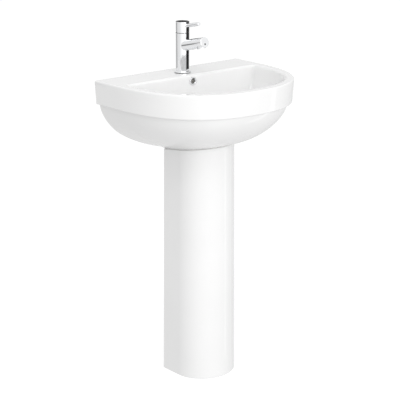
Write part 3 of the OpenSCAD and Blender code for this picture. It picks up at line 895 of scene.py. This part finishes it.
def rubber_look():
    """Black rubber with a matt, slightly uneven skin."""
    look = Look("black_rubber")
    look.colours(look.noise(0.004, 3.0), (0.022, 0.022, 0.023), (0.042, 0.042, 0.044))
    look.roughness(look.noise(0.002), 0.55, 0.75)
    return look.bump(look.noise(0.0004, 3.0), 0.00005).material


def gasket_look():
    """Soft white sealant strip in the joint."""
    look = Look("joint_seal")
    look.colours(look.noise(0.01, 3.0), (0.86, 0.86, 0.855), (0.91, 0.91, 0.905))
    look.roughness(look.noise(0.003), 0.45, 0.6)
    return look.bump(look.noise(0.001, 2.0), 0.00005).material


def plastic_look(name, low, high, rough=(0.3, 0.42), grain=0.0006):
    """Moulded plastic with a fine spark-eroded grain."""
    look = Look(name, Subsurface_Weight=0.05, Subsurface_Scale=0.003)
    look.colours(look.noise(0.03), low, high)
    look.roughness(look.noise(0.005), *rough)
    return look.bump(look.noise(grain, 2.0), 0.00003).material


def dress(names, material):
    """Puts a material on CAD nodes that are shown as they are, and eases their sharp edges."""
    for name in names:
        node = NODES[name]
        node.data.materials.clear()
        node.data.materials.append(material)
        ease = node.modifiers.new("eased_edges", "BEVEL")
        ease.width = EASED_EDGE
        ease.segments = 2
        ease.limit_method = "ANGLE"
        ease.angle_limit = EASED_ANGLE
        ease.harden_normals = True


# ---- Studio ---------------------------------------------------------------------------

CAMERA_AZIMUTH = math.radians(38.7)
CAMERA_YAW = math.radians(40.05)
CAMERA_PITCH = math.radians(15.2)
CAMERA_DISTANCE = 3.8
CAMERA_Z = 1.582
CAMERA_LENS = 123.75
CAMERA_SHIFT = -0.07
# Brightness of the dome: overall, added in front, overhead and in reflections, and taken away below
DOME_FRONT = (-0.27, -0.96, -0.05)
DOME_LEVEL = 0.61
DOME_KEY = 0.44
DOME_TOP = 0.22
DOME_BELOW = -0.08
DOME_GLOSS = 0.20
BACKDROP = 1.05
GROUND_R = 30
GROUND_GLOW = 0.68
# Dark flags beside the tap: heights, distances from its axis, shade, and the longest rays that see them
FLAG_LOW_Z = RIM_Z + 0.0065
FLAG_MID_Z = RIM_Z + 0.073
FLAG_HIGH_Z = CAP_HIGH.z + 0.03
FLAG_R = 0.060
FLAG_LOW_R = 0.036
FLAG_SHADE = 0.055
FLAG_SIGHT = 0.120
FLAG_LOW_SIGHT = 0.0245


def make_camera():
    camera = bpy.data.objects.new("camera", bpy.data.cameras.new("camera"))
    SCENE.collection.objects.link(camera)
    camera.data.lens = CAMERA_LENS
    camera.data.sensor_width = 36
    camera.data.shift_y = CAMERA_SHIFT
    camera.data.clip_end = 100
    camera.location = (-CAMERA_DISTANCE * math.sin(CAMERA_AZIMUTH),
                       WALL_Y - CAMERA_DISTANCE * math.cos(CAMERA_AZIMUTH), CAMERA_Z)
    camera.rotation_euler = (math.pi / 2 - CAMERA_PITCH, 0, -CAMERA_YAW)
    SCENE.camera = camera


def make_floor():
    """A wide pale floor, bright enough to run into the backdrop."""
    shape = bmesh.new()
    bmesh.ops.create_circle(shape, cap_ends=True, radius=GROUND_R, segments=96)
    mesh = bpy.data.meshes.new("floor")
    shape.to_mesh(mesh)
    shape.free()
    floor = bpy.data.objects.new("floor", mesh)
    SCENE.collection.objects.link(floor)
    look = Look("floor", Roughness=0.9)
    look.shader.inputs["Specular IOR Level"].default_value = 0
    look.shader.inputs["Emission Color"].default_value = (1, 1, 1, 1)
    look.shader.inputs["Emission Strength"].default_value = GROUND_GLOW
    look.colours(look.noise(0.8), (0.42, 0.42, 0.42), (0.44, 0.44, 0.44))
    mesh.materials.append(look.material)
    floor.visible_diffuse = False
    floor.visible_glossy = False


def make_world():
    """White backdrop for the camera, and a soft dome for the rest: brightest in front, darker below."""
    world = bpy.data.worlds.new("studio")
    SCENE.world = world
    world.use_nodes = True
    nodes, links = world.node_tree.nodes, world.node_tree.links
    nodes.clear()

    def math_node(kind, a, b):
        node = nodes.new("ShaderNodeMath")
        node.operation = kind
        for socket, value in zip(node.inputs, (a, b)):
            if isinstance(value, (int, float)):
                socket.default_value = value
            else:
                links.new(value, socket)
        return node.outputs["Value"]

    way = nodes.new("ShaderNodeTexCoord").outputs["Generated"]
    facing = nodes.new("ShaderNodeVectorMath")
    facing.operation = "DOT_PRODUCT"
    links.new(way, facing.inputs[0])
    facing.inputs[1].default_value = DOME_FRONT
    height = nodes.new("ShaderNodeSeparateXYZ")
    links.new(way, height.inputs["Vector"])
    front = math_node("POWER", math_node("MAXIMUM", facing.outputs["Value"], 0.0), 2.0)
    above = math_node("MAXIMUM", height.outputs["Z"], 0.0)
    below = math_node("MINIMUM", height.outputs["Z"], 0.0)
    level = math_node("ADD", math_node("MULTIPLY", front, DOME_KEY), DOME_LEVEL)
    level = math_node("ADD", level, math_node("MULTIPLY", above, DOME_TOP))
    level = math_node("ADD", level, math_node("MULTIPLY", below, DOME_BELOW))
    ray = nodes.new("ShaderNodeLightPath")
    level = math_node("ADD", level, math_node("MULTIPLY", ray.outputs["Is Glossy Ray"], DOME_GLOSS))
    out = nodes.new("ShaderNodeOutputWorld")
    mix = nodes.new("ShaderNodeMixShader")
    dome, backdrop = nodes.new("ShaderNodeBackground"), nodes.new("ShaderNodeBackground")
    dome.inputs["Color"].default_value = backdrop.inputs["Color"].default_value = (1, 1, 1, 1)
    links.new(level, dome.inputs["Strength"])
    backdrop.inputs["Strength"].default_value = BACKDROP
    links.new(ray.outputs["Is Camera Ray"], mix.inputs["Fac"])
    links.new(dome.outputs["Background"], mix.inputs[1])
    links.new(backdrop.outputs["Background"], mix.inputs[2])
    links.new(mix.outputs["Shader"], out.inputs["Surface"])


def make_light(name, azimuth, elevation, distance, size, power):
    """Square soft box that faces the bowl. Azimuth 0 is in front, and positive is to the right."""
    target = Vector((0, 0, 0.8))
    a, e = math.radians(azimuth), math.radians(elevation)
    way = Vector((math.sin(a) * math.cos(e), -math.cos(a) * math.cos(e), math.sin(e)))
    light = bpy.data.objects.new(name, bpy.data.lights.new(name, "AREA"))
    SCENE.collection.objects.link(light)
    light.data.size = size
    light.data.energy = power
    light.location = target + way * distance
    light.rotation_euler = (-way).to_track_quat("-Z", "Y").to_euler()


def seen_within(look, sight):
    """Hides a card from rays that have come further than sight."""
    ray = look.tree.nodes.new("ShaderNodeLightPath")
    near = look.tree.nodes.new("ShaderNodeMath")
    near.operation = "LESS_THAN"
    near.inputs[1].default_value = sight
    look.tree.links.new(ray.outputs["Ray Length"], near.inputs[0])
    look.tree.links.new(near.outputs["Value"], look.shader.inputs["Alpha"])


def make_card(name, radius, start, end, low, high, shade, glow=0, sight=None):
    """Curved card round the tap, between two azimuths and two heights, that only shows in reflections."""
    steps = 32
    verts = []
    for k in range(steps + 1):
        a = math.radians(lerp(start, end, k / steps))
        x, y = radius * math.sin(a), TAP_Y - radius * math.cos(a)
        verts += [(x, y, low), (x, y, high)]
    mesh = bpy.data.meshes.new(name)
    mesh.from_pydata(verts, [], [(2 * k, 2 * k + 2, 2 * k + 3, 2 * k + 1) for k in range(steps)])
    card = bpy.data.objects.new(name, mesh)
    SCENE.collection.objects.link(card)
    look = Look(name, Roughness=1.0)
    look.shader.inputs["Specular IOR Level"].default_value = 0
    look.shader.inputs["Emission Color"].default_value = (1, 1, 1, 1)
    look.shader.inputs["Emission Strength"].default_value = glow
    look.colours(look.noise(0.5), (shade,) * 3, (shade * 1.1,) * 3)
    if sight:
        seen_within(look, sight)
    mesh.materials.append(look.material)
    card.visible_camera = False
    card.visible_diffuse = False
    card.visible_shadow = False


def make_flags():
    """Dark cards close to the tap, for its dark stripe, the spout's lines and the cap's top."""
    make_card("low_flag", FLAG_LOW_R, start=9, end=73, low=FLAG_LOW_Z, high=FLAG_MID_Z,
              shade=FLAG_SHADE, sight=FLAG_LOW_SIGHT)
    make_card("high_flag", FLAG_R, start=17, end=88, low=FLAG_MID_Z, high=FLAG_HIGH_Z,
              shade=FLAG_SHADE, sight=FLAG_SIGHT)
    make_card("back_flag", FLAG_R, start=100, end=130, low=FLAG_MID_Z, high=FLAG_HIGH_Z,
              shade=FLAG_SHADE, sight=FLAG_SIGHT)
    make_card("cap_flag", FLAG_R, start=112, end=165, low=CAP_HIGH.z + 0.001, high=FLAG_HIGH_Z,
              shade=FLAG_SHADE, sight=FLAG_SIGHT)


def make_studio():
    make_floor()
    make_world()
    make_light("key", azimuth=-10, elevation=14, distance=2.2, size=1.2, power=9)
    make_light("fill", azimuth=-50, elevation=52, distance=3.2, size=1.4, power=15)
    make_flags()
    make_card("side_card", radius=1.6, start=-160, end=-138, low=0.45, high=0.95, shade=0.28)
    make_card("strip_card", radius=1.2, start=44, end=49, low=-0.4, high=0.7, shade=0.8, glow=1.25)
    SCENE.view_settings.view_transform = "Standard"


# ---- Everything -----------------------------------------------------------------------

def make_ceramic():
    glaze, bisque = glaze_look(), bisque_look()
    make_basin(glaze, bisque)
    make_pedestal(glaze, bisque)


def make_tap_and_waste():
    # inside is the near-black painted shade for the gap between the tap's body and its cap.
    chrome, inside = chrome_look(), gap_shade_look()
    make_tap_body(chrome, inside)
    make_base_ring(chrome)
    make_handle_cap(chrome, inside)
    make_lever(chrome)
    make_overflow_ring(chrome)
    make_plug(chrome)
    dress(["aerator_housing", "waste_body"], chrome)


def dress_the_rest():
    dress(["joint_gasket"], gasket_look())
    dress(["tap_base_seal", "horseshoe_rubber", "waste_seal_upper", "waste_seal_lower", "plug_seal",
           "trap_inlet_washer", "trap_cup_seal", "trap_outlet_washer"], rubber_look())
    dress(["cartridge_nut", "fixing_stud", "stud_nut"], brass_look())
    dress(["lever_pivot_pin", "lever_stem", "handle_grub_screw", "horseshoe_plate", "plug_rod",
           "waste_backnut"], steel_look())
    dress(["supply_tail_hot", "supply_tail_cold"], copper_look())
    dress(["spout_index"],
          plastic_look("index_plastic", (0.012, 0.012, 0.014), (0.022, 0.022, 0.025), (0.3, 0.4)))
    dress(["aerator_insert"], plastic_look("aerator_plastic", (0.42, 0.44, 0.46), (0.5, 0.52, 0.55)))
    dress(["cartridge", "swivel_carrier", "click_cartridge"],
          plastic_look("cartridge_plastic", (0.74, 0.72, 0.64), (0.82, 0.80, 0.73)))
    dress(["trap_inlet_nut", "trap_body", "trap_cup", "trap_outlet_nut", "waste_pipe"],
          plastic_look("trap_plastic", (0.80, 0.80, 0.79), (0.86, 0.86, 0.85)))


make_camera()
make_studio()
make_ceramic()
make_tap_and_waste()
dress_the_rest()
